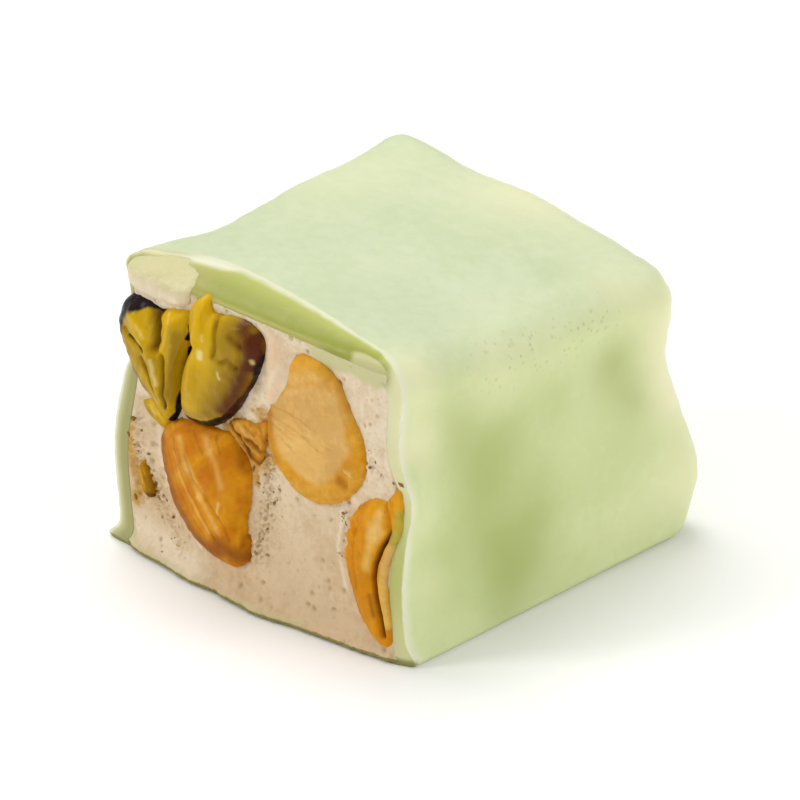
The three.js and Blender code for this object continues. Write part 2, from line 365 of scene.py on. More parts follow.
across, upward, back = read_points(nougat_mesh)
face_x = face_right * across
crest = 0.22 * hump(face_x + 0.2, 2.3) + 0.07 * grain(face_x, 0 * face_x, 0 * face_x, 0.5, 3.3)
face_z = lerp(face_low, face_high + crest * (back == 0), (upward + 1) / 2)
face_z = np.where(back > 0, np.maximum(face_z, sole - 0.15), face_z)
face_middle = (face_low + face_high) / 2
corner_round = 0.9
past_x = np.maximum(np.abs(face_x) - (face_right - corner_round), 0)
past_z = np.maximum(np.abs(face_z - face_middle) - (face_high - face_middle - corner_round), 0)
past = np.maximum(np.hypot(past_x, past_z), 1e-9)
in_corner = (past_x > 0) & (past_z > 0) & (face_z > face_middle)
pull = np.where(in_corner, np.maximum(past_x, past_z) / past, 1)
face_x = face_x - np.sign(face_x) * past_x * (1 - pull)
face_z = face_z - np.sign(face_z - face_middle) * past_z * (1 - pull)

# Low on the left the coating's foot is thick, and the nougat stops short of it.
at_foot = 0.35 * rise(-face_x, 5, 8.6) * hump(face_z, 1.3) * (back < 0.1)
face_x = face_x + at_foot

# Strokes on the cut are given by their width, their strength, and their points in X and Z.
lumps = [
    (0.62, 0.42, (0.7, 14.3), (0.85, 12.8), (0.6, 11.6)),  # squeezed up between two nuts
    (0.7, 0.22, (-0.8, 11), (-0.7, 10.3)),
    (0.9, 0.14, (6.9, 13.2), (7.4, 12.4)),
    (1.3, 0.16, (4.6, 5.4), (4.4, 3.2)),
    (0.9, -0.1, (0.8, 5.8), (1.4, 3.4)),
    (0.9, 0.1, (1, 1.6), (3.4, 1.8)),
    (0.8, 0.12, (-7.6, 1.6), (-5.4, 1.3)),
    (0.5, 0.12, (7.6, 11), (7.2, 9.9)),
    (0.5, -0.12, (-7.9, 4.6), (-7.4, 3.7)),  # pressed in round the splinter
]
torn_places = [
    (0.55, 0.75, (-8, 7), (-8.1, 6), (-7.8, 4.9), (-7.3, 3.9), (-7.7, 3.1)),
    (0.6, 0.7, (-6.9, 4.4), (-6.2, 2.8), (-5, 1.7)),
    (0.75, 0.85, (-1.4, 8.9), (-0.4, 8.3), (0.3, 7.2), (0.3, 6), (0.1, 4.6), (0, 3.2)),
    (0.3, 0.7, (0.1, 10.6), (0.3, 9.4), (0.9, 8.2)),
    (0.35, 0.5, (7.4, 11), (6.9, 10.3), (7.9, 9.7), (8.3, 9.5)),
    (0.25, 0.5, (5.4, 7.2), (5.1, 6.2), (5.2, 4.6)),
]
pale_seams = [  # clean nougat, squeezed up along the nuts' edges
    (0.12, 0.7, (-6.9, 7.2), (-6.6, 5.7), (-5.8, 4.1), (-4.7, 3), (-3.5, 2.2)),
    (0.9, 0.65, (-7.9, 1.6), (-5.6, 1.2), (-4, 0.9)),
    (0.22, 0.7, (-9.3, 9.8), (-8.2, 8.9), (-7.9, 8.5)),
    (0.1, 0.8, (-4.9, 8.5), (-3.4, 8.6), (-2.6, 9)),
    (0.2, 0.6, (1.2, 13.3), (0.2, 11.6), (-0.2, 10.8)),
    (0.2, 0.6, (5.2, 8), (6.4, 7.6)),
    (0.14, 0.6, (5.1, 6.9), (5, 5), (5.4, 3)),
]
smears = [  # coating that the knife wiped over the nougat's edges
    (0.85, 1.2, (3.9, 14.9), (5.4, 15.2), (7.6, 15.2)),
    (0.5, 0.5, (-8.3, 15), (-8.2, 14.3)),
    (0.45, 0.8, (-8.8, 5), (-8.7, 2.6), (-8.3, 0.9)),
    (0.5, 0.5, (-8, 0.4), (-2, 0.3), (3, 0.4)),
]
stains = [  # where browned nut skin rubbed off on the nougat
    (0.42, 1, (-8.4, 6.8), (-8.3, 5.2), (-7.7, 3.7), (-8.1, 2.8)),
    (0.3, 0.4, (-6.6, 4), (-5.9, 2.6), (-4.9, 1.8)),
    (0.4, 0.6, (-7.9, 8.4), (-7.2, 8)),
    (0.7, 1, (-2.2, 9.2), (-1.2, 8.6), (-0.2, 7.6)),
    (0.45, 1, (-0.3, 10.4), (0, 9.4), (0.6, 8.2)),
    (0.25, 1, (-2.5, 8.7), (-1.5, 8), (-0.8, 7.2), (-0.5, 6.4)),
    (0.5, 0.4, (-1.6, 1.7), (-0.2, 1.6)),
    (0.2, 0.45, (0, 15), (1.5, 14.7), (2.6, 14.4)),
    (0.25, 0.35, (5.3, 5.6), (5.3, 4)),
]


def nougat_relief(x, z):
    """How far the nougat's cut face stands forward of the knife's plane."""
    relief = 0.1 * np.sin(0.9 * x + 0.5 * z) * np.sin(0.7 * z - 0.4 * x + 1)
    relief = relief + 0.35 * rise(-x, 4.6, 6.4) * rise(z, 13, 14.4)  # swells towards the upper left
    relief = relief + 0.36 * (1 - rise(z, 0.25, 1.3)) * rise(x, -9.2, -6.8)  # and out to the foot
    relief = relief + grained(x, 0 * x, z, (0.09, 1.5, 3.1), (0.045, 0.55, 8.7), (0.03, 0.2, 5.3))
    relief = relief + stroked(x, z, lumps)
    level = hump(z - 15.1, 0.6) * rise(x, -4.2, -3.2)  # flush with the coating that it meets
    return lerp(relief, 0.12, level) - 0.8 * rise(z, 15.1, 15.5)


relief = nougat_relief(face_x, face_z)
torn_here = np.clip(stroked(face_x, face_z, torn_places), 0, 1)
crumbly = grain(face_x, 0 * face_x, face_z, 0.2, 21.7)
relief = relief - 0.2 * torn_here * rise(crumbly, -0.1, 0.4)

random = np.random.default_rng(7)
pit_count = 520
pits = 0 * face_x
for _ in range(pit_count):
    at_x = random.uniform(-face_right, face_right)
    at_z = random.uniform(face_low, face_high)
    size = 0.04 + 0.09 * random.random() ** 3
    close = (np.abs(face_x - at_x) < 4 * size) & (np.abs(face_z - at_z) < 4 * size)
    distance = np.hypot(face_x[close] - at_x, (face_z[close] - at_z) * random.uniform(0.7, 1.3))
    pits[close] = np.maximum(pits[close], size * 0.8 * hump(distance, size))
relief = relief - pits

from_wall = face_right * (1 - np.abs(across))
relief = lerp(relief, 0.1, hump(from_wall - 0.3, 0.3) * (1 - rise(face_z, 12.5, 13.5)))
relief = relief - 0.5 * (1 - rise(from_wall, 0.05, 0.3))

front = cut_at(face_x, face_z) + 0.1 - relief
nougat_y = lerp(front, nougat_back, back)
lay(nougat_mesh, *settle(face_x, nougat_y, face_z))
mark(nougat_mesh, "torn", torn_here)
# The pits' depth also sets a darker tan in them, which is painted shade.
mark(nougat_mesh, "pit_shade", np.clip(pits / 0.08, 0, 1))
mark(nougat_mesh, "raised", np.clip(stroked(face_x, face_z, lumps[:1]) * 2.4, 0, 1))
for mark_name, strokes in (("smeared", smears), ("clean", pale_seams), ("stained", stains)):
    mark(nougat_mesh, mark_name, np.clip(stroked(face_x, face_z, strokes), 0, 1))
under_lid = hump(face_z - 15.1, 0.28) * rise(face_x, -4.6, -3.8) * (1 - rise(face_x, 3, 4.5))
mark(nougat_mesh, "foot", hump(face_z - face_low, 0.17) + 0.4 * under_lid)


def mixed(tree, share, first, second, way="MIX"):
    """Two colours mixed by a share, which can be the name of a mark."""
    if isinstance(share, str):
        share = mark_input(tree, share)
    first, second = (colour(tone) if isinstance(tone, str) else tone for tone in (first, second))
    inputs = {"Fac": share, "Color1": first, "Color2": second}
    return add(tree, "ShaderNodeMixRGB", inputs, blend_type=way).outputs["Color"]


def worked(tree, operation, *values):
    """Plain arithmetic with two or three values."""
    return add(tree, "ShaderNodeMath", dict(enumerate(values)), operation=operation).outputs[0]


def graded(tree, value, start, end):
    """0 up to one value, 1 from another on, and smooth between them."""
    inputs = {"Value": value, "From Min": start, "From Max": end}
    return add(tree, "ShaderNodeMapRange", inputs, interpolation_type="SMOOTHSTEP").outputs["Result"]


def new_group(name, inputs):
    """An empty node group that gives a mask and a height, what it is given, and its output node."""
    group = bpy.data.node_groups.new(name, "ShaderNodeTree")
    for socket, kind in inputs.items():
        group.interface.new_socket(name=socket, in_out="INPUT", socket_type=kind)
    for socket in ("Mask", "Height"):
        group.interface.new_socket(name=socket, in_out="OUTPUT", socket_type="NodeSocketFloat")
    return group, add(group, "NodeGroupInput", {}).outputs, add(group, "NodeGroupOutput", {})


# Dapple: soft clouds over a finer grain, as a mask for colour and a height for relief.
dapple, given, result = new_group(
    "dapple",
    {"Place": "NodeSocketVector", "Clouds": "NodeSocketFloat", "Grain": "NodeSocketFloat"},
)
cloud_noise = noisy(dapple, given["Place"], given["Clouds"], detail=2.0)
grain_noise = noisy(dapple, given["Place"], given["Grain"], detail=4.0, roughness=0.6)
summed = worked(dapple, "ADD", cloud_noise, grain_noise)
feed(dapple, result, {"Mask": graded(dapple, summed, 0.8, 1.2), "Height": grain_noise})


def dappled(tree, place, clouds, grain_scale):
    inputs = {"Place": place, "Clouds": clouds, "Grain": grain_scale}
    return add(tree, "ShaderNodeGroup", inputs, node_tree=dapple).outputs


def broken_up(tree, name, place, scale, amount, start=0.3, end=0.7):
    """A mark with its soft edge broken up by noise, and made crisper."""
    noise_here = noisy(tree, place, scale, detail=4.0, roughness=0.6)
    swing = worked(tree, "SUBTRACT", noise_here, 0.5)
    moved = worked(tree, "MULTIPLY_ADD", swing, amount, mark_input(tree, name))
    return graded(tree, moved, start, end)


def tinted(tree, place, tone, layers):
    """A tone with colours laid over it in turn, each where the mark of its name is. Numbers after
    a colour say how its edge is broken up."""
    for name, (layer, *edge) in layers.items():
        share = broken_up(tree, name, place, *edge) if edge else name
        tone = mixed(tree, share, tone, layer)
    return tone


nougat_material, tree, shader, place = new_material("nougat")
soft = dappled(tree, place, 260.0, 2200.0)
up_the_cut = add(tree, "ShaderNodeSeparateXYZ", {"Vector": place}).outputs["Z"]
lower = mixed(tree, soft["Mask"], "#cfb28a", "#dac09b")
upper = mixed(tree, soft["Mask"], "#dcc6a4", "#e9d9bd")
body = mixed(tree, graded(tree, up_the_cut, 0.001, 0.012), lower, upper)
body = tinted(tree, place, body, {
    "raised": ("#e8c8a4",),
    "clean": ("#f0e2c6",),
    "smeared": ("#cdc896", 1200.0, 0.4),
    # darker tan in the pits: painted shade
    "pit_shade": ("#bd9f72",),
})
fine_specks = noisy(tree, place, 4200.0)
for name, start, speck_tone in (("stained", 0.1, "#c4953c"), ("torn", 0.36, "#b09468")):
    specks_here = worked(tree, "MULTIPLY", fine_specks, mark_input(tree, name))
    body = mixed(tree, graded(tree, specks_here, start, 0.6), body, speck_tone)
body = tinted(tree, place, body, {"foot": ("#8d8540", 2600.0, 0.9)})
feed(tree, shader, {
    "Base Color": body,
    "Normal": bumped(tree, soft["Height"], 0.00018, 0.7),
    "Roughness": 0.65,
    "Specular IOR Level": 0.35,
    "Subsurface Weight": 0.35,
    "Subsurface Radius": (1.0, 0.75, 0.5),
    "Subsurface Scale": 0.0004,
})

finish("nougat", nougat_mesh, nougat_material, ["nougat"])


def ball(name, rings, around, place_points):
    """A closed skin: a ball's rings and steps, laid in millimetres where the function puts them.
    Ring 0 is the pole that faces the cut, and the steps run anticlockwise as seen from there."""
    shape = bmesh.new()
    bmesh.ops.create_uvsphere(shape, u_segments=around, v_segments=rings, radius=1)
    mesh = as_mesh(name, shape)
    x, y, z = read_points(mesh)
    ring = np.rint(np.arccos(np.clip(z, -1, 1)) / math.pi * rings)
    step = np.rint(np.arctan2(y, x) / math.tau * around) % around
    lay(mesh, *place_points(ring / rings, step / around))
    return mesh


lump_x, lump_z = -7, 14.95
lump_half_width, lump_half_height, lump_depth = 2.15, 0.9, 0.7
lump_fullness = 0.65  # a ball has 1, and a brick 0


def place_lump(down, turn):
    """The lump that the knife dragged up, which leans back over the broken coating behind it."""
    polar, angle = down * math.pi, turn * math.tau
    across, upward = np.sin(polar) * np.cos(angle), np.sin(polar) * np.sin(angle)
    x = lump_x + lump_half_width * np.sign(across) * np.abs(across) ** lump_fullness
    z = lump_z + lump_half_height * np.sign(upward) * np.abs(upward) ** lump_fullness
    over_wall = lerp(0.9, 2.2, rise(x, -8.6, -6)) * np.clip(z - 15, 0, 1) ** 2.4
    y = cut_y + 0.2 + over_wall - lump_depth * np.cos(polar)
    uneven = grained(x, y, z, (0.1, 1.2, 4.4), (0.03, 0.45, 9.1), (0.012, 0.18, 2.1))
    return x + uneven, y - uneven, z + 0.6 * uneven


lump_mesh = ball("nougat_lump", 120, 180, place_lump)
up_the_lump = rise(read_points(lump_mesh)[2] / MM, 14.3, 15.9)
mark(lump_mesh, "clean", 0.6 - 0.3 * up_the_lump)
mark(lump_mesh, "smeared", 0.36 + 0.32 * up_the_lump)
finish("nougat_lump", lump_mesh, nougat_material, ["nougat"])

# ------------------------ the almonds
# Whole almonds, blanched and roasted golden, were stirred into the hot nougat. The knife broke
# one along its length, went straight through the second, and cracked the third off at the wall.


def smooth_outline(points, count):
    """Evenly spaced points on a closed smooth curve through the given ones."""
    points = np.array(points, float)
    before, after, beyond = (np.roll(points, n, 0) for n in (1, -1, -2))
    shares = np.linspace(0, 1, 24, endpoint=False)[:, None, None]
    curve = 0.5 * (2 * points + (after - before) * shares
                   + (2 * before - 5 * points + 4 * after - beyond) * shares ** 2
                   + (3 * points - before - 3 * after + beyond) * shares ** 3)
    curve = curve.transpose(1, 0, 2).reshape(-1, 2)
    closed = np.vstack([curve, curve[:1]])
    travelled = np.concatenate([[0], np.cumsum(np.hypot(*np.diff(closed, axis=0).T))])
    wanted = np.linspace(0, travelled[-1], count, endpoint=False)
    return np.stack([np.interp(wanted, travelled, closed[:, n]) for n in (0, 1)], 1)


def within(x, z, outline, softness):
    """1 inside a closed outline on the cut and 0 outside it, soft along its edge."""
    closed = outline + outline[:1]
    inside = False
    for (x0, z0), (x1, z1) in zip(closed, closed[1:]):
        crossed = ((z0 > z) != (z1 > z)) & (x < (x1 - x0) * (z - z0) / (z1 - z0 + 1e-12) + x0)
        inside = inside ^ crossed
    off_edge = off_line(x, z, closed)
    return rise(np.where(inside, off_edge, -off_edge), -softness, softness)


front_share = 0.6  # of a nut's rings, the rest close it behind
facet_depth = 0.07


def make_nut(name, outline, heart, crown, depth, material, strokes, marks, uneven=(0.05, 0.6),
             frayed=0.04, lean=(0, 0), flatness=2.2, facet=None, headroom=None, rings=112, around=260):
    """A nut as the cut shows it: its outline on the cut, anticlockwise round its heart, how far its
    middle stands forward, and how deep it sits. Strokes raise or sink its surface, and marks hold
    the strokes of each mask that its material reads. A facet is where the knife left it flat and
    pale. Headroom is a height that only the front may pass, which keeps the back half of a nut
    under the broken edge of the coating."""
    rim = smooth_outline(outline, around)
    heart = np.array(heart)
    fraying = grain(rim[:, 0], 0 * rim[:, 0], rim[:, 1], 0.3, 6.2)
    rim = rim + (frayed * fraying)[:, None] * (rim - heart) / np.hypot(*(rim - heart).T)[:, None]
    kept = {}

    def place_points(down, turn):
        step = np.rint(turn * around).astype(int) % around
        arm = rim[step] - heart
        front = down <= front_share
        sunk_angle = np.clip((down - front_share) / (1 - front_share), 0, 1) * math.pi / 2
        spread = np.where(front, np.sin(down / front_share * math.pi / 2), np.cos(sunk_angle))
        sunk = np.where(front, 0, np.sin(sunk_angle))
        x = heart[0] + arm[:, 0] * spread
        z = heart[1] + arm[:, 1] * spread
        inward = (1 - spread) * np.hypot(arm[:, 0], arm[:, 1])
        rounded = np.sqrt(np.clip(1 - spread ** (2 * flatness), 0, 1))
        height_here = stroked(x, z, strokes) + uneven[0] * grain(x, 0 * x, z, uneven[1], 1.7)
        forward = np.where(front, crown * rounded + height_here * rise(inward, 0, 0.4), 0)
        for mark_name, mark_strokes in marks.items():
            kept[mark_name] = np.clip(stroked(x, z, mark_strokes), 0, 1)
        if facet:
            ragged_edge = 0.25 * grain(x, 0 * x, z, 0.9, 12.3)
            sawn = within(x + ragged_edge, z + ragged_edge, facet, 0.38) * front
            forward = forward - facet_depth * sawn
            kept["pale"] = np.maximum(kept["pale"], sawn)
        y = lerp(cut_at(x, z) + 0.15 - forward, cut_y + depth, sunk)
        if headroom:
            z = np.minimum(z, lerp(z, headroom, rise(y, cut_y + 0.2, cut_y + 0.7)))
        return x + lean[0] * sunk, y, z + lean[1] * sunk

    mesh = ball(name, rings, around, place_points)
    for mark_name, values in kept.items():
        mark(mesh, mark_name, values)
    finish(name, mesh, material, [name])


# Streaks: noise drawn out along a nut, as the fibres of its flesh run.
streaks, given, result = new_group(
    "streaks",
    {"Place": "NodeSocketVector", "Lean": "NodeSocketVector", "Scale": "NodeSocketFloat"},
)
turned = add(streaks, "ShaderNodeMapping", {"Vector": given["Place"], "Rotation": given["Lean"]})
drawn_out = add(streaks, "ShaderNodeMapping", {"Vector": turned.outputs[0], "Scale": (1.0, 1.0, 0.1)})
streak_noise = noisy(streaks, drawn_out.outputs[0], given["Scale"], detail=4.0, roughness=0.55)
feed(streaks, result, {"Mask": graded(streaks, streak_noise, 0.35, 0.65), "Height": streak_noise})


def streaked(tree, place, lean, scale):
    """Streaks along the cut: lean turns them clockwise from upright, as seen from the front."""
    inputs = {"Place": place, "Lean": (0.0, math.radians(lean), 0.0), "Scale": scale}
    return add(tree, "ShaderNodeGroup", inputs, node_tree=streaks).outputs


def almond_finish(name, lean, gold, deep_tone_and_gap_shade, pale, brown_and_crack_shade):
    """Roasted almond: gold, deeper between its streaks, pale where it is cut and where highlights are
    painted, and brown at burns and, as painted shade, along its splits and cracks.
    """
    material, tree, shader, place = new_material(name)
    fibres = streaked(tree, place, lean, 900.0)
    soft = dappled(tree, place, 350.0, 2400.0)
    tone = tinted(tree, place, mixed(tree, fibres["Mask"], deep_tone_and_gap_shade, gold), {
        "pale": (mixed(tree, fibres["Mask"], pale, "#e8bc6e"), 900.0, 0.3, 0.1, 0.95),
        "brown_and_crack_shade": (brown_and_crack_shade,),
        "wiped": ("#b8ac40", 1200.0, 0.5, 0.1, 1.0),
    })
    shaded = mixed(tree, soft["Mask"], "#e4e0dc", "#ffffff")
    feed(tree, shader, {
        "Base Color": mixed(tree, 0.7, tone, shaded, "MULTIPLY"),
        "Normal": bumped(tree, fibres["Height"], 0.0003, 0.6),
        "Roughness": 0.42,
        "Specular IOR Level": 0.1,
        "Subsurface Weight": 0.08,
        "Subsurface Radius": (1.0, 0.45, 0.05),
        "Subsurface Scale": 0.0004,
    })
    return material


# Two splits run down the first almond. They are sunk, with painted shade along them.
long_split = [(-4.7, 6.7), (-4.1, 5.7), (-2.7, 4.8), (-1.7, 4.1), (-1.3, 3.5)]
side_split = [(-5.6, 7.3), (-5.2, 6.2), (-4.4, 5.2), (-3.2, 4.2), (-2.2, 3.3)]
make_nut(
    "almond_lower",
    outline=[
        (-0.9, 5.4), (-0.85, 6.4), (-1, 7.2), (-1.5, 7.95), (-2.4, 8.55), (-3.7, 8.45), (-5.7, 8.1),
        (-6.7, 7.3), (-6.85, 6.2), (-6.35, 4.85), (-5.75, 3.8), (-4.9, 3.05), (-3.85, 2.4), (-2.3, 2),
        (-1.1, 2), (-0.45, 2.5), (-0.5, 3.2), (-0.9, 4.2),
    ],
    heart=(-3.4, 5.6), crown=0.75, depth=4.5, lean=(0.3, 0.4), frayed=0.08,
    material=almond_finish("almond_broken", -43, "#df9810", "#cf7c00", "#eab04a", "#9c5a06"),
    strokes=[
        (0.5, 0.06, (-5.2, 6.9), (-3.9, 4.9), (-2.3, 3.5)),
        (0.1, -0.04, *long_split), (0.08, -0.04, *side_split),
        (0.12, -0.03, (-3.9, 7.9), (-3.1, 6.6), (-2.4, 5.6)),
        (0.1, -0.04, (-5.9, 6.6), (-5.2, 5.2), (-4, 3.9), (-2.9, 3.2)),
        (0.6, 0.08, (-2.2, 7.6), (-1.7, 5.6), (-1.5, 4)), (0.16, 0.12, (-2.15, 5.1), (-2.1, 4.7)),
        (0.25, -0.04, (-1.2, 4.4), (-1.1, 3.2)),
    ],
    marks={
        "pale": [
            (0.3, 0.7, (-5.2, 7.4), (-4.6, 6.3), (-3.5, 5.2)),
            (0.2, 0.6, (-3.5, 5), (-2.5, 4.2), (-1.9, 3.6)),
            (0.14, 0.6, (-5.5, 6.6), (-4.7, 5.3), (-3.4, 4.1), (-2.6, 3.5)),
            # The soft streak from (-3.6, 8) is a painted highlight down the ridge.
            (0.3, 0.6, (-3.6, 8), (-2.7, 7), (-2.2, 6)), (0.14, 0.9, (-2.15, 5.1), (-2.2, 4.6)),
        ],
        "brown_and_crack_shade": [
            (0.4, 0.95, (-6.6, 6.9), (-6.2, 5.5), (-5.3, 4.1), (-3.8, 2.9), (-2.3, 2.4)),
            (0.55, 1, (-1.9, 3), (-1.1, 2.8), (-0.6, 2.7)),
            (0.09, 0.35, *long_split), (0.07, 0.3, *side_split),
            (0.08, 0.4, (-4.4, 8), (-3.6, 7.2)), (0.08, 0.5, (-2.9, 8.2), (-2.4, 7.6)),
            (0.16, 0.6, (-1.5, 7.8), (-1.1, 7)), (0.1, 0.5, (-0.75, 3.7), (-0.7, 3.3)),
        ],
    },
)

make_nut(
    "almond_middle",
    outline=[
        (6.8, 10), (6.5, 11.1), (5.7, 12.4), (4.8, 13.7), (3.8, 14.4), (2.6, 14.5), (1.8, 13.8),
        (1.5, 12.6), (0.6, 11.4), (0.2, 10.2), (0.4, 8.7), (1.4, 7.4), (2.8, 6.8), (4.3, 7),
        (5.6, 7.8), (6.5, 9),
    ],
    heart=(3.4, 10.4), crown=0.4, depth=6, lean=(-0.3, -0.5), flatness=7, frayed=0.06,
    material=almond_finish("almond_cut", -62, "#e2a838", "#da981e", "#e2b264", "#b8740c"),
    facet=[
        (1.9, 12.6), (3.1, 13.2), (4.4, 13.3), (5.1, 12.7), (5.6, 11.8), (5.75, 10.6), (5.4, 9.6),
        (4.7, 8.6), (3.8, 7.9), (2.6, 7.9), (1.5, 8.6), (0.9, 9.4), (0.5, 10.3), (0.9, 11.5),
    ],
    strokes=[
        (0.14, 0.16, (5.6, 9.42), (6, 9.3)), (0.26, -0.16, (5.1, 8.9), (5.5, 8.7)),
        (0.08, -0.05, (1.1, 10), (3.1, 10.2), (4.6, 10.1)),
        (0.08, 0.03, (0.9, 10.5), (2.4, 11.2), (3.8, 12.1)), (0.07, -0.03, (1.2, 9.4), (3, 9.3)),
    ],
    marks={
        "pale": [
            # This spot on the chip is a painted highlight.
            (0.14, 0.9, (5.6, 9.42), (6, 9.3)),
            (0.6, 0.6, (2.1, 13), (3.4, 13.6), (4.6, 13.3), (5.4, 12.2)),
            (0.3, 0.3, (2.2, 7.4), (3.6, 7.4), (4.8, 7.8)),
        ],
        "brown_and_crack_shade": [
            # The first of these, in the hollow under the chip, is painted shade.
            (0.22, 0.75, (5.1, 8.6), (5.5, 8.5)), (0.26, 0.6, (0.5, 10.6), (0.55, 9.4), (1, 8.3)),
            (0.05, 0.3, (0.7, 10.6), (2.2, 10.3), (3.9, 9.7)), (0.05, 0.3, (0.6, 10.2), (2, 9.7)),
            (0.06, 0.3, (0.7, 11.1), (2, 11.1), (3.5, 10.7)), (0.05, 0.25, (1, 9.7), (2.2, 9.1)),
        ],
    },
)

# The knife cracked this one from top to bottom, along the wall.
crack = [(8.5, 7), (8, 6.1), (7.65, 5.2), (7.55, 4.4), (7.7, 3.4), (7.95, 2.4), (8.1, 1.4)]
make_nut(
    "almond_right",
    outline=[
        (9.15, 9.2), (8.9, 9.5), (8.5, 9.1), (8.1, 8.6), (7.4, 8.5), (6.5, 7.9), (6, 7.3), (5.7, 6.9),
        (6, 6.5), (5.5, 6.1), (5.6, 5.6), (5.4, 4.9), (5.7, 3.9), (6, 3.1), (6.7, 1.6), (7.5, 0.8),
        (8.2, 0.7), (8.5, 1.2), (8.45, 2.2), (8.3, 3.2), (8.2, 4.4), (8.4, 5.5), (8.8, 6.5),
        (9.2, 7.6),
    ],
    heart=(6.9, 5), crown=0.5, depth=4, lean=(-0.2, 0.4), flatness=3, frayed=0.08,
    material=almond_finish("almond_cracked", 12, "#e3a21c", "#d88a00", "#ebbe5a", "#5c2c06"),
    strokes=[
        (0.16, -0.3, (8.1, 8.6), (8.4, 7.9), (8.5, 7.2)),
        (0.5, 0.08, (7.2, 7.6), (6.6, 5.2), (7, 2.8)), (0.2, -0.15, (6, 6.9), (6.4, 6.4)),
        (0.08, -0.06, (6.4, 7.2), (6.2, 5.4), (6.5, 3.4)),
        (0.11, -0.5, *crack),
    ],
    marks={
        "wiped": [(0.34, 0.8, (9.1, 8.2), (9, 7.4), (8.7, 6.6))],
        "pale": [
            (0.34, 0.7, (7.9, 7.9), (7.4, 6.8), (7.1, 4.8)), (0.3, 0.6, (8, 7), (7.7, 6.6)),
            (0.2, 1, (8.6, 6.4), (8.1, 5.2), (8, 4.2), (8.1, 3.2), (8.3, 2)),
        ],
        "brown_and_crack_shade": [
            # The dark line along the crack is painted shade.
            (0.1, 1.2, *crack),
            (0.14, 0.5, (7.35, 3.4), (7.6, 2.4)), (0.2, 0.15, (5.8, 4.2), (6.5, 2.2)),
        ],
    },
)

# ------------------------ the pistachio
# One pistachio kernel, whose two halves sprang apart as the knife met them. Its flesh is yellow
# green and waxy, and its papery skin has dried to a dark purple. Its highlights are painted, and
# so is the shade that makes it nearly black at the folds and in the gap between the halves.


def pistachio_finish(name, lean, dark_skin, light_skin):
    """Pistachio flesh under a skin that is left at its edges: painted bright where it faces the light,
    painted olive and brown as shade where it turns away (the brown partly the skin's own), with painted
    highlights and near-black painted shade in its gaps.
    """
    material, tree, shader, place = new_material(name)
    fibres = streaked(tree, place, lean, 800.0)
    soft = dappled(tree, place, 500.0, 2600.0)
    tone = tinted(tree, place, mixed(tree, fibres["Mask"], "#ac8a06", "#c8a004"), {
        # Painted light and shade: bright on the lit parts, olive and brown on the parts turned away.
        "lit_bright": ("#dcae00",),
        "olive_shade": ("#96740a",),
        "browned_and_shaded": ("#582606",),
        # pale yellow painted highlights
        "painted_highlight": ("#ead78c", 1500.0, 0.2, 0.1, 0.95),
        "skin": (mixed(tree, soft["Mask"], dark_skin, light_skin), 1500.0, 0.5, 0.2, 0.75),
        # near-black painted shade in the gap between the halves and along the kernels' lower edges
        "deep_tone_and_gap_shade": ("#040101", 1800.0, 0.15),
    })
    feed(tree, shader, {
        "Base Color": tone,
        "Normal": bumped(tree, fibres["Height"], 0.00035, 0.7),
        "Roughness": 0.38,
        "IOR": 1.22,
        "Coat Weight": 0.05,
        "Coat Roughness": 0.1,
        "Subsurface Weight": 0.05,
        "Subsurface Radius": (0.9, 0.7, 0.1),
        "Subsurface Scale": 0.0003,
    })
    return material


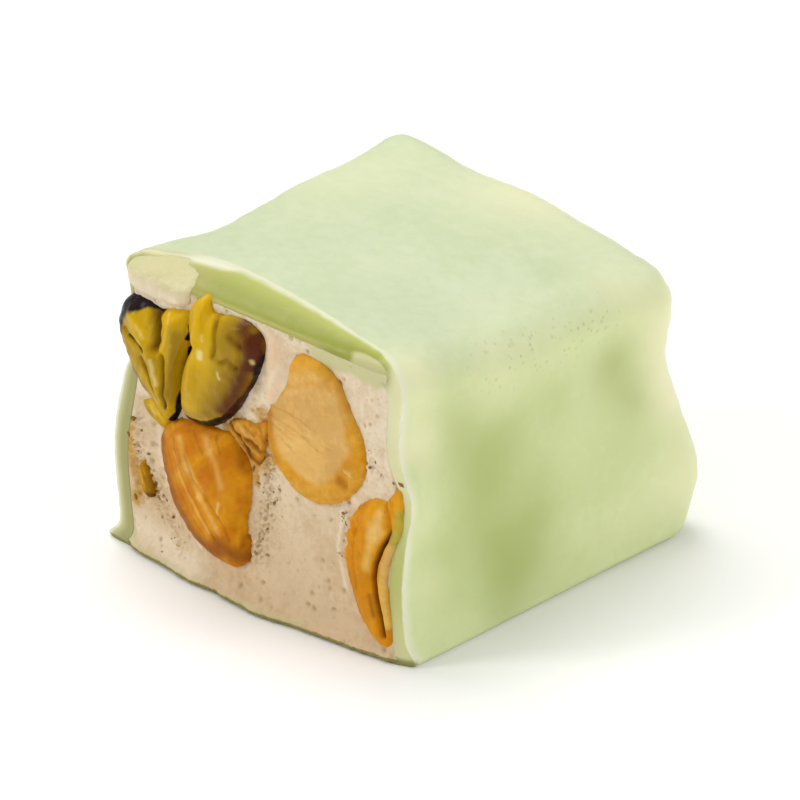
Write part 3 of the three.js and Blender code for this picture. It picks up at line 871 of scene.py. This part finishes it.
make_nut(
    "pistachio_left",
    outline=[
        (-5.35, 9.3), (-5.2, 10.5), (-4.9, 11.7), (-4.55, 12.9), (-4.5, 13.7), (-4.9, 14.2),
        (-5.7, 14.2), (-6.5, 13.9), (-7.4, 14.1), (-8.3, 14), (-9.1, 13.5), (-9.5, 12.4), (-9.3, 11.5),
        (-8.9, 10.7), (-8.4, 9.8), (-7.8, 9.1), (-7.2, 8.7), (-6.6, 8.2), (-6.1, 7.8), (-5.7, 8.4),
    ],
    heart=(-7, 11.6), crown=1, depth=3.2, lean=(0.5, 0), frayed=0.03, uneven=(0.07, 0.45), headroom=14,
    material=pistachio_finish("pistachio_flesh_left", -20, "#080102", "#26090a"),
    strokes=[
        (0.4, 0.22, (-8.1, 13.1), (-7.5, 12.4), (-7, 11.6)),
        (0.3, 0.25, (-6.7, 11.2), (-6.5, 10.4), (-6.2, 9.6)),
        (0.36, 0.22, (-5.4, 13.8), (-5.3, 12.4), (-5.6, 10.6), (-5.8, 9)),
        (0.22, -0.45, (-6.65, 13.7), (-6.4, 13.1), (-6.4, 12.5), (-6.6, 11.8)),
        (0.13, -0.3, (-6.1, 11.6), (-6, 10.4), (-6, 9)),
        (0.12, -0.22, (-8.6, 12.2), (-7.9, 11.8), (-7.3, 11.6)),
        (0.1, -0.2, (-7.4, 11.1), (-7, 10.4), (-6.6, 9.5)),
    ],
    marks={
        "skin": [
            (0.5, 1.1, (-9.3, 12), (-9.1, 12.9), (-8.6, 13.6), (-8, 13.9)),
            (0.3, 1.1, (-8, 13.9), (-7.2, 14.05), (-6.5, 13.9)),
            (0.2, 1, (-9.4, 12), (-9.1, 11.1), (-8.6, 10), (-7.9, 9.2), (-7, 8.5), (-6.3, 8)),
            (0.11, 0.75, (-8.3, 12), (-7.6, 11.7), (-7.25, 11.5)),
        ],
        "lit_bright": [
            (0.4, 1, (-6, 13.9), (-5.1, 14)), (0.3, 0.8, (-7.9, 13), (-7.1, 12.4), (-6.8, 11.8)),
            (0.14, 0.9, (-5.75, 13.5), (-5.75, 12.8), (-6.1, 11.9)),
        ],
        "painted_highlight": [
            (0.15, 0.6, (-6.6, 11.3), (-6.45, 10.7), (-6.3, 10.1)),
            (0.15, 0.45, (-7.6, 12.8), (-7.15, 12.3)), (0.12, 0.5, (-5.8, 13.9), (-5.6, 13.6)),
        ],
        "olive_shade": [
            (0.3, 0.75, (-5.1, 13), (-5.2, 12.2), (-5.5, 11), (-5.7, 9.4)),
            (0.34, 0.4, (-8.3, 11.2), (-7.5, 10.9), (-7, 10.8)),
            (0.25, 0.5, (-8.2, 10.2), (-7.4, 9.4)),
        ],
        "browned_and_shaded": [
            (0.22, 0.8, (-6.65, 13.6), (-6.4, 13.1), (-6.4, 12.5), (-6.6, 11.9)),
            (0.1, 0.8, (-7.2, 10.8), (-6.8, 10.1), (-6.4, 9.3)),
            (0.12, 0.9, (-6, 11.4), (-5.95, 10.2), (-6, 8.8)),
            (0.4, 0.6, (-9.2, 11.6), (-8.5, 10.2), (-7.6, 9.2), (-6.8, 8.5)),
        ],
        "deep_tone_and_gap_shade": [
            (0.16, 1.1, (-4.55, 13.6), (-4.5, 13.3), (-4.65, 12.9)),
            (0.05, 0.8, (-4.75, 12.4), (-5, 11.4), (-5.2, 10.2)),
            (0.11, 1.1, (-5.25, 9.9), (-5.45, 9.1), (-5.65, 8.5), (-6.1, 7.9)),
        ],
    },
)

make_nut(
    "pistachio_right",
    outline=[
        (0, 13.2), (0.05, 14.1), (-0.35, 14.7), (-1, 15), (-1.9, 14.95), (-2.8, 14.75), (-3.25, 14.7),
        (-3.45, 15), (-3.6, 15.35), (-3.9, 15.4), (-4.2, 15.1), (-4.5, 14.9), (-4.6, 14.5),
        (-4.35, 14.1), (-4.2, 13.6), (-4.25, 12.9), (-4.9, 11.6), (-5.25, 10), (-5.1, 8.6),
        (-4.2, 8.4), (-3.2, 8.6), (-2.2, 9.4), (-1.2, 10.7), (-0.5, 12),
    ],
    heart=(-2.9, 12), crown=1.15, depth=3.6, lean=(0.2, -0.6), frayed=0.03, uneven=(0.07, 0.5),
    headroom=14.6,
    material=pistachio_finish("pistachio_flesh_right", -8, "#140405", "#43160c"),
    strokes=[
        (0.4, 0.14, (-3.7, 15.6), (-3.6, 14.4), (-3.8, 12.6), (-4.2, 10.6)),
        (0.12, -0.22, (-2.85, 14.9), (-2.6, 14.3), (-2.4, 13.6), (-2.5, 12.9)),
        (0.12, -0.14, (-2, 12.7), (-1.5, 13), (-1.1, 12.7)),
        (0.22, 0.1, (-2, 12.1), (-1.4, 12.5), (-0.9, 12.1)),
        (0.12, -0.1, (-1, 14.5), (-0.8, 13.4), (-1.3, 12)),
    ],
    marks={
        "skin": [
            (0.12, 0.8, (0, 13.4), (-0.35, 12.3), (-0.8, 11.4), (-1.4, 10.5), (-2.2, 9.5)),
            (0.1, 0.4, (-0.4, 14.9), (0.05, 14.3), (0, 13.3)),
            (0.12, 0.6, (-1.2, 10.8), (-1.9, 9.9), (-2.8, 9.1)),
            (0.14, 0.4, (-0.5, 14.6), (-0.3, 13.9)),
        ],
        "lit_bright": [
            (0.6, 0.75, (-3.7, 15.9), (-3.5, 14.6), (-3.4, 13.4), (-3.6, 12.2), (-4.1, 11), (-4.5, 9.6)),
        ],
        "painted_highlight": [
            (0.21, 0.9, (-3.3, 12.85), (-3.3, 12.6)), (0.15, 0.6, (-2.1, 12.15), (-2.05, 11.9)),
            (0.13, 0.6, (-0.3, 13.3), (-0.25, 13.15)), (0.1, 0.5, (-3.2, 13.8), (-3.15, 13.5)),
        ],
        "olive_shade": [
            (0.65, 0.75, (-1.7, 14.4), (-1.4, 13.2), (-1.9, 11.6), (-3, 10)),
            (0.18, 0.8, (-2.85, 14.8), (-2.5, 14.2), (-2.3, 13.5), (-2.4, 12.9)),
            (0.12, 0.8, (-2, 12.75), (-1.5, 13.05), (-1.1, 12.75)),
            (0.5, 0.3, (-3.6, 11.6), (-4.2, 10.2)), (0.3, 0.6, (-2.8, 9.6), (-4, 9.1), (-4.9, 9.2)),
        ],
        "browned_and_shaded": [
            (0.22, 0.6, (-0.2, 14.5), (0, 13.6), (-0.2, 12.8)),
            (0.5, 0.95, (-1, 14.9), (-0.5, 14.2), (-0.4, 13.4), (-0.8, 12.3), (-1.3, 11.2), (-2.1, 10)),
            (0.2, 0.5, (-1.5, 14.2), (-0.9, 13.9)),
        ],
        "deep_tone_and_gap_shade": [
            (0.3, 1.1, (-2.4, 9.3), (-3.1, 8.85), (-4, 8.65), (-4.8, 8.6), (-5.1, 8.7)),
            (0.06, 0.8, (-4.85, 11.6), (-5.2, 10.4), (-5.3, 9.2)),
        ],
    },
)

# ------------------------ crumbs of nut
# Splinters that the knife broke off the nuts lie pressed into the nougat between them, and finer
# chips and shreds of skin were dragged through the torn places.
crumb_finish = almond_finish("almond_crumbs", -20, "#dc9c30", "#cc8414", "#ecbc6c", "#7c4806")
dust_finish = almond_finish("almond_dust", -20, "#b8975c", "#a38248", "#dcc692", "#8c6a38")

make_nut(
    "almond_splinter",
    outline=[
        (-8.25, 4.9), (-8.25, 4.3), (-8.1, 3.8), (-7.8, 3.4), (-7.4, 3.3), (-7.15, 3.55), (-7.3, 4),
        (-7.6, 4.5), (-7.95, 5),
    ],
    heart=(-7.75, 4.1), crown=0.34, depth=1.2, rings=40, around=120, frayed=0.03, flatness=5,
    material=almond_finish("almond_splinters", -35, "#c08c10", "#a87408", "#d8a850", "#6a4208"),
    strokes=[(0.08, -0.08, (-8, 4.7), (-7.5, 3.8))],
    marks={
        "pale": [(0.12, 0.5, (-8.1, 4.6), (-7.9, 4))],
        "brown_and_crack_shade": [(0.14, 0.6, (-7.7, 4.3), (-7.3, 3.7)), (0.16, 1, (-7.5, 3.5), (-7.2, 3.5))],
    },
)

make_nut(
    "almond_crumb",
    outline=[
        (-2.3, 9.2), (-1.4, 9.6), (-0.7, 9.6), (0, 9.9), (0.2, 9.6), (0.05, 9), (-0.15, 8),
        (-0.4, 7.4), (-0.9, 7.6), (-1.4, 8), (-1.9, 8.4), (-2.4, 8.7),
    ],
    heart=(-0.9, 8.7), crown=0.3, depth=1.2, rings=60, around=160, frayed=0.06, uneven=(0.12, 0.35),
    flatness=4, material=crumb_finish,
    strokes=[
        (0.1, -0.12, (-2.2, 9.1), (-1.6, 8.7), (-0.9, 8.1)), (0.12, -0.1, (-1, 8.6), (-0.2, 8.4)),
        (0.1, -0.08, (-1.4, 9.4), (-0.7, 8.9), (-0.2, 8.9)),
    ],
    marks={
        "pale": [(0.2, 0.6, (-1.7, 9.2), (-0.8, 8.9)), (0.14, 0.6, (-1.4, 8.4), (-0.8, 8.2))],
        "brown_and_crack_shade": [
            (0.12, 0.95, (-2.2, 9.1), (-1.5, 8.6), (-0.8, 7.9)), (0.14, 0.8, (-1.1, 8.7), (-0.2, 8.3)),
            (0.18, 0.9, (-0.9, 8.1), (-0.3, 7.6)), (0.14, 0.7, (-2.5, 8.7), (-1.4, 8.1)),
            (0.08, 0.5, (-1.2, 9.3), (-0.6, 9)), (0.12, 0.35, (-0.2, 9.6), (0, 8.8)),
        ],
    },
)

make_nut(
    "pistachio_crumb",
    outline=[
        (-8.2, 8.2), (-8.1, 7.85), (-7.8, 7.6), (-7.4, 7.4), (-7, 7.2), (-6.6, 7.2), (-6.4, 7.6),
        (-6.6, 8), (-7, 8.4), (-7.5, 8.6), (-7.9, 8.4),
    ],
    heart=(-7.3, 7.9), crown=0.2, depth=1, rings=40, around=120, frayed=0.05, uneven=(0.08, 0.4),
    material=pistachio_finish("pistachio_crumbs", 40, "#140405", "#43160c"),
    strokes=[],
    marks={
        "lit_bright": [(0.35, 0.8, (-7.6, 8.2), (-6.9, 7.7))],
        "olive_shade": [(0.3, 0.4, (-8, 7.9), (-6.8, 7.2))],
        "painted_highlight": [(0.2, 0.4, (-7.7, 8.1), (-7.3, 7.8))],
    },
)


def along_strokes(strokes):
    """A place drawn at random near one of the strokes, the longer ones more often."""
    legs = [(*leg, width) for width, _, *points in strokes for leg in zip(points, points[1:])]
    lengths = np.array([math.dist(start, end) for start, end, _ in legs])
    start, end, width = legs[random.choice(len(legs), p=lengths / lengths.sum())]
    share = random.random()
    return [lerp(start[n], end[n], share) + 0.65 * width * random.normal() for n in (0, 1)]


chips_at = [  # the larger ones, as X, Z and size
    (-8.3, 7, 0.13), (-8.1, 2.9, 0.15), (-8.4, 6.1, 0.09), (-8.5, 5.1, 0.07), (-6.3, 3.7, 0.07),
    (-5.7, 2.8, 0.08), (-6, 0.8, 0.05), (-0.4, 6.5, 0.1), (-0.8, 7.1, 0.1), (8.85, 9.75, 0.16),
    (8.2, 10.3, 0.07), (7.5, 10.4, 0.06), (7.3, 11.7, 0.04), (6.9, 12.3, 0.04), (6.4, 13.9, 0.04),
]
larger = len(chips_at)
finer = 230
for _ in range(finer):
    at_x, at_z = along_strokes(torn_places)
    at_x = max(at_x, 2 * (0.5 - face_right) - at_x)
    chips_at.append((at_x, at_z, 0.02 + 0.07 * random.random() ** 3))
chips_shape = bmesh.new()
for at_x, at_z, size in chips_at:
    chip = bmesh.ops.create_icosphere(chips_shape, subdivisions=1, radius=size)["verts"]
    stretch = random.uniform(0.5, 1.8, 3)
    lean = random.uniform(-0.8, 0.8)
    at = np.array([at_x]), np.array([at_z])
    at_y = float(cut_at(*at)[0] + 0.1 - nougat_relief(*at)[0]) + 0.05 - 0.6 * size
    for vertex in chip:
        spot = vertex.co * random.uniform(0.8, 1.2)
        vertex.co = Vector((
            at_x + spot.x * stretch[0] + lean * spot.z,
            at_y + 0.7 * spot.y,
            at_z + spot.z * stretch[2],
        ))
chips_mesh = as_mesh("nut_chips", chips_shape)
lay(chips_mesh, *settle(*read_points(chips_mesh)))
chip_numbers = np.arange(len(chips_mesh.vertices)) // 12  # each has the 12 corners of an icosahedron
mark(chips_mesh, "brown_and_crack_shade", ((chip_numbers < larger) | (chip_numbers % 3 == 0)) * 0.9)
mark(chips_mesh, "pale", ((chip_numbers > larger) & (chip_numbers % 4 == 1)) * 0.9)
finish("nut_chips", chips_mesh, dust_finish, [])

# ------------------------ the coating
# Coloured white chocolate, pale green, that the sawn bar was dipped in. It is thin on the sides
# and flows into soft edges, and at the cut it broke off behind the knife along the top.


def chip_depth(x, z):
    """How far behind the cut the outside of the coating broke: along the top, and down the left."""
    deepest = -4.5
    right_share = (np.maximum(x - deepest, 0) / 13) ** 1.6
    left_share = (np.maximum(deepest - x, 0) / 4.5) ** 2
    share = np.where(x > deepest, right_share, left_share)
    top = (0.3 + 2.15 * np.maximum(1 - share, 0)) * rise(z, 13.6, 15.6)
    left = rise(-x, 0, 1) * 0.5 * rise(z, 9, 11) * (1 - rise(z, 13.6, 15.6))
    return top + left


# Stations of the skin, from the inside of its far wall forwards over the broken rim and back along
# the outside: scale, inset, low, high, thinning by the almond, the fixed part of Y, the shares of
# the knife's surface and of the chip in Y, and how far over the rim the station is.
stations = []
inner_end = end_y - coat
inner_round = end_round - coat


def inside(y, extra, scale):
    stations.append((scale, coat + extra, sole + extra, height - lid - extra, 1, y, 0, 0, 0))


for scale in (0, 0.35, 0.7):
    inside(inner_end, inner_round, scale)
inner_corner_steps = 6
for n in range(inner_corner_steps, -1, -1):
    angle = n / inner_corner_steps * math.pi / 2
    inside(inner_end - inner_round * (1 - math.sin(angle)), inner_round * (1 - math.cos(angle)), 1)
inner_steps = 10
for n in range(1, inner_steps):
    share = n / inner_steps
    fixed = lerp(inner_end - inner_round, 0, share)
    stations.append((1, coat, sole, height - lid, 1, fixed, share, 0, 0))
rim_steps = 30
for n in range(rim_steps + 1):
    share = n / rim_steps
    stations.append((1, lerp(coat, 0, share), lerp(sole, 0, share),
                     lerp(height - lid, height, share ** 0.7), 1 - share, 0, 1, share ** 1.7, share))
outside_steps = 122
for n in range(1, outside_steps + 1):
    share = (n / outside_steps) ** 1.25
    stations.append((1, 0, 0, height, 0, share * (end_y - end_round), 1 - share, 1 - share, 1))
corner_steps = 14
for n in range(1, corner_steps + 1):
    angle = n / corner_steps * math.pi / 2
    extra = end_round * (1 - math.cos(angle))
    fixed = end_y - end_round * (1 - math.sin(angle))
    stations.append((1, extra, extra, height - extra, 0, fixed, 0, 0, 1))
end_steps = 20
for n in range(end_steps - 1, -1, -1):
    stations.append((n / end_steps, end_round, end_round, height - end_round, 0, end_y, 0, 0, 1))
stations = np.array(stations, float)

# Patches where the coating is painted greener, partly as if it lay thicker and partly as painted
# shade in the dents of its sides, and patches where it is painted paler, partly as if thinner and
# partly as painted light where the lamps reach its far end less: where, how far they reach, and
# how strong they are.
greener_and_shaded = [
    ((9.3, -6, 12.4), 1.8, 0.35),
    ((9.3, -5.4, 10.4), 2.3, 0.5),
    ((9.3, -4.4, 8), 2.5, 0.5),
    ((9.3, -3.8, 5.8), 2.6, 0.45),
    ((9.3, -2.4, 3.8), 2.8, 0.5),
    ((9.3, -2.8, 1.4), 2.2, 0.45),
    ((9.3, -0.2, 2.4), 1.8, 0.35),
    ((9.3, -7.4, 5.2), 1.6, 0.3),
    ((9.4, -0.5, 7.8), 1.7, 0.4),
    ((9.4, -0.4, 5.4), 1.6, 0.35),
    ((9.4, -7, 2.4), 1.6, 0.3),
    ((9.3, 5, 11.6), 1.7, 0.65),
    ((9.3, 6.2, 9.3), 1.1, 0.4),
    ((9.1, -2.8, 10.8), 1.8, 0.35),
    ((9.1, 0.6, 11.2), 1.8, 0.25),
    ((9, 4.6, 10.4), 3, 0.2),
    ((-9.3, -4, 6), 3.8, 0.4),
    ((-9.3, 4.5, 9.5), 3.2, 0.35),
    ((-3, 9.9, 6.5), 3.6, 0.4),
    ((4.5, 9.9, 10), 3.2, 0.35),
]
paler = [
    ((9, -8.4, 15.3), 1.8, 0.7),
    ((9.3, -8.4, 11.4), 1.5, 0.6),
    ((9.3, -8.6, 7.4), 1.3, 0.3),
    ((9.3, -8.3, 4), 1.6, 0.3),
    ((8.8, -3, 14.4), 2.2, 0.5),
    ((9, 0.6, 14.6), 2, 0.3),
    ((8.6, 5.6, 15.4), 2.2, 0.5),
    ((8.8, 9.2, 12.4), 2.6, 1),
    ((9.3, 9, 8.8), 2.2, 1),
    ((9.7, 8.8, 3.8), 2.6, 0.75),
    ((9.7, 4.6, 2.6), 2.2, 0.25),
    ((0, 9, 16), 4.5, 0.5),
    ((-8, 4, 16), 3.5, 0.3),
    ((-9.3, 1, 12.6), 3, 0.45),
    ((1, 9.9, 12.8), 3.2, 0.4),
    ((-7.5, 9, 3.4), 3, 0.35),
]


def patched(x, y, z, patches):
    return sum(strength * near_spot(x, y, z, spot, reach) for spot, reach, strength in patches)


coat_marks = {}


def place_coating(down, turn):
    """Where the coating's rings and steps lie. It also keeps the marks that its material reads."""
    ring = np.rint(down * (len(stations) - 1)).astype(int)
    scale, inset, low, high, thinning, fixed, knife, chip, over = stations[ring].T
    y_for_corners = np.where(scale < 1, end_y, fixed + knife * cut_at(0, 0) + chip * chip_depth(0, 0))
    x, z = section(turn * 4, y_for_corners, inset, low, high)
    y = fixed + knife * cut_at(x, z) + chip * chip_depth(x, z)
    blunt = 0.4 * hump(x - half_width, 0.7) * hump(z, 0.9) * over * (1 - rise(y, cut_y, cut_y + 2))
    edge_y = cut_at(x, z) + chip_depth(x, z)
    thinned = np.where(x > 0, 0.45 * hump(z - 8.4, 1.3), 0.35 * hump(z, 1.3))
    x = x + thinning * hump(y - cut_y, 2) * thinned
    z = lerp(height / 2, z, scale)
    x = x * scale

    outer = over >= 1
    behind = np.where(outer, np.maximum(y - edge_y, 0), 0)
    upper = rise(z, 13.9, 15.1)
    at_left = rise(-x, 3.5, 5)
    brim_reach = lerp(0.22, 0.7, rise(x, 6, 9)) + 0.14 * at_left
    brim_start = 0.86 - 0.1 * at_left
    brim_inside = rise(over, brim_start, brim_start + 0.14)
    band = upper * (0.45 + 0.55 * rise(x, -7.4, -5.4)) * (1 - rise(x, 7.8, 8.8))
    under_band = (1 - rise(over, 0.05, 0.3)) * rise(x, -4.8, -3.8) * (1 - rise(x, 3.4, 4.6))
    foot = lerp(0.25, 0.55, rise(x, -7.5, -5.5))
    wiped_here = np.clip(stroked(x, z, smears[:2]), 0, 1) * np.where(x > 0, rise(x, 5, 6.6), 1)
    # The sides, coloured as in shade against the top's painted sheen.
    flank_shading = 1 - rise(z, 13.8, 16)
    clouded = 0.24 * grain(x, y, z, 3.4, 3.7) * (0.4 + flank_shading) * (1 - 0.6 * rise(x, 8, 9))
    top_edge = hump(np.hypot(x - 8.8, z - 14.4), 1.3)
    coat_marks.update({
        "broken": np.where(outer, 1 - rise(behind, 0, 0.12), 1),
        # a pale line along the broken rim: partly its paler broken edge, partly a painted highlight
        "brim_pale_and_highlight": np.where(outer, 1 - rise(behind, 0.02, brim_reach), brim_inside),
        "band": np.where(outer, 0, band * rise(over, 0, 0.06)),
        "band_top": rise(over, 0.5, 0.95),
        "inner_green": np.where(x > 0, hump(z - 5, 4.2), 0) * (1 - upper),
        "left_wall": (x < 0) * (1 - upper) * (1 - 0.6 * rise(over, 0.3, 0.9)),
        "lip": upper * rise(-x, 5.9, 7.4),
        "tan": 0.4 * upper * hump(x + 4.9, 0.8),
        "bared": 0.8 * upper * under_band,
        "under": (1 - rise(z, 0.2 * foot, foot)) * np.where(outer, 1 - rise(behind, 0, 0.3), 1),
        "smeared": wiped_here * (1 - rise(over, 0.4, 0.8)),
        "flank_shading": flank_shading,
        "greener_and_shaded": np.clip(patched(x, y, z, greener_and_shaded) + clouded, 0, 1),
        "paler": np.clip(patched(x, y, z, paler) - clouded, 0, 1),
        "pitted": top_edge * rise(y, -7, -3) * (1 - rise(y, 4, 6)),
    })

    rough = 0.06 * grain(x, y, z, 0.6, 2.8) * over
    wave = grained(x, y, z, (0.07, 3.2, 6.1), (0.04, 1.5, 7.7), (0.01, 0.5, 1.9))
    wave = (wave - 0.05) * rise(z, 0.05, 0.6) * outer
    left_corner = hump(z - 14.6, 1) * rise(-x, 6, 8) * hump(behind, 0.5) * outer
    ragged = 0.24 * grain(x, y, z, 0.42, 9.3) * left_corner
    out_x, out_z = x / half_width, np.maximum(z - 8, 0) / 8
    x, y, z = settle(x, y, z)
    return x + out_x * wave + ragged, y + rough + blunt, z + out_z * wave


steps_round = 432
coating_mesh = ball("coating", len(stations) - 1, steps_round, place_coating)
for mark_name, values in coat_marks.items():
    mark(coating_mesh, mark_name, values)

coating_material, tree, shader, place = new_material("green_coating")
soft = dappled(tree, place, 150.0, 1500.0)
wall = mixed(tree, "inner_green", "#dedcae", "#b6ba66")
wall = tinted(tree, place, wall, {
    # the left cut strip and inner left wall painted a darker olive, darkest next to the nougat: painted
    # shade
    "left_wall": ("#a29e5e",),
    "lip": ("#bcb67c",),
    # the fracture face painted darker green: partly the coating's deeper green inside, partly painted
    # shade, darkest where it meets the nougat
    "band": (mixed(tree, "band_top", "#959a36", "#b2b858"),),
    "tan": ("#b4a75e",),
    "bared": ("#bab060",),
    "smeared": ("#c4c088", 1200.0, 0.4),
    "under": ("#86823c",),
})
# Painted light: the top gets a paler, bluer green as painted sheen, and the flank mark gives the sides a
# more saturated green, as they look in shade.
tone = tinted(tree, place, mixed(tree, soft["Mask"], "#c5d0a9", "#cbd5b1"), {
    "flank_shading": (mixed(tree, soft["Mask"], "#ced89c", "#d3dda4"),),
    # greener patches are partly painted shade, paler ones partly painted light
    "greener_and_shaded": ("#acb86c",),
    "paler": ("#e8e6ba",),
    "broken": (wall,),
    # pale cream rim line, partly a painted highlight
    "brim_pale_and_highlight": (mixed(tree, "lip", "#e1e0c4", "#ccc89a"),),
    "under": ("#8c8a44",),
})
# In the pits along the top right edge the surface is lowered and its colour darkened, as painted shade.
pit_cells = add(tree, "ShaderNodeTexVoronoi", {"Vector": place, "Scale": 2400.0})
pit_floor = graded(tree, pit_cells.outputs["Distance"], 0.3, 0.12)
pit_here = worked(tree, "MULTIPLY", pit_floor, mark_input(tree, "pitted"))
lowered = worked(tree, "MULTIPLY_ADD", pit_here, -1.2, soft["Height"])
feed(tree, shader, {
    "Base Color": mixed(tree, pit_here, tone, "#c4c68e"),
    "Normal": bumped(tree, lowered, 0.00006, 0.35),
    "Roughness": 0.38,
    "Subsurface Weight": 0.35,
    "Subsurface Radius": (0.8, 1.0, 0.5),
    "Subsurface Scale": 0.0008,
})

finish("coating", coating_mesh, coating_material, ["coating"])
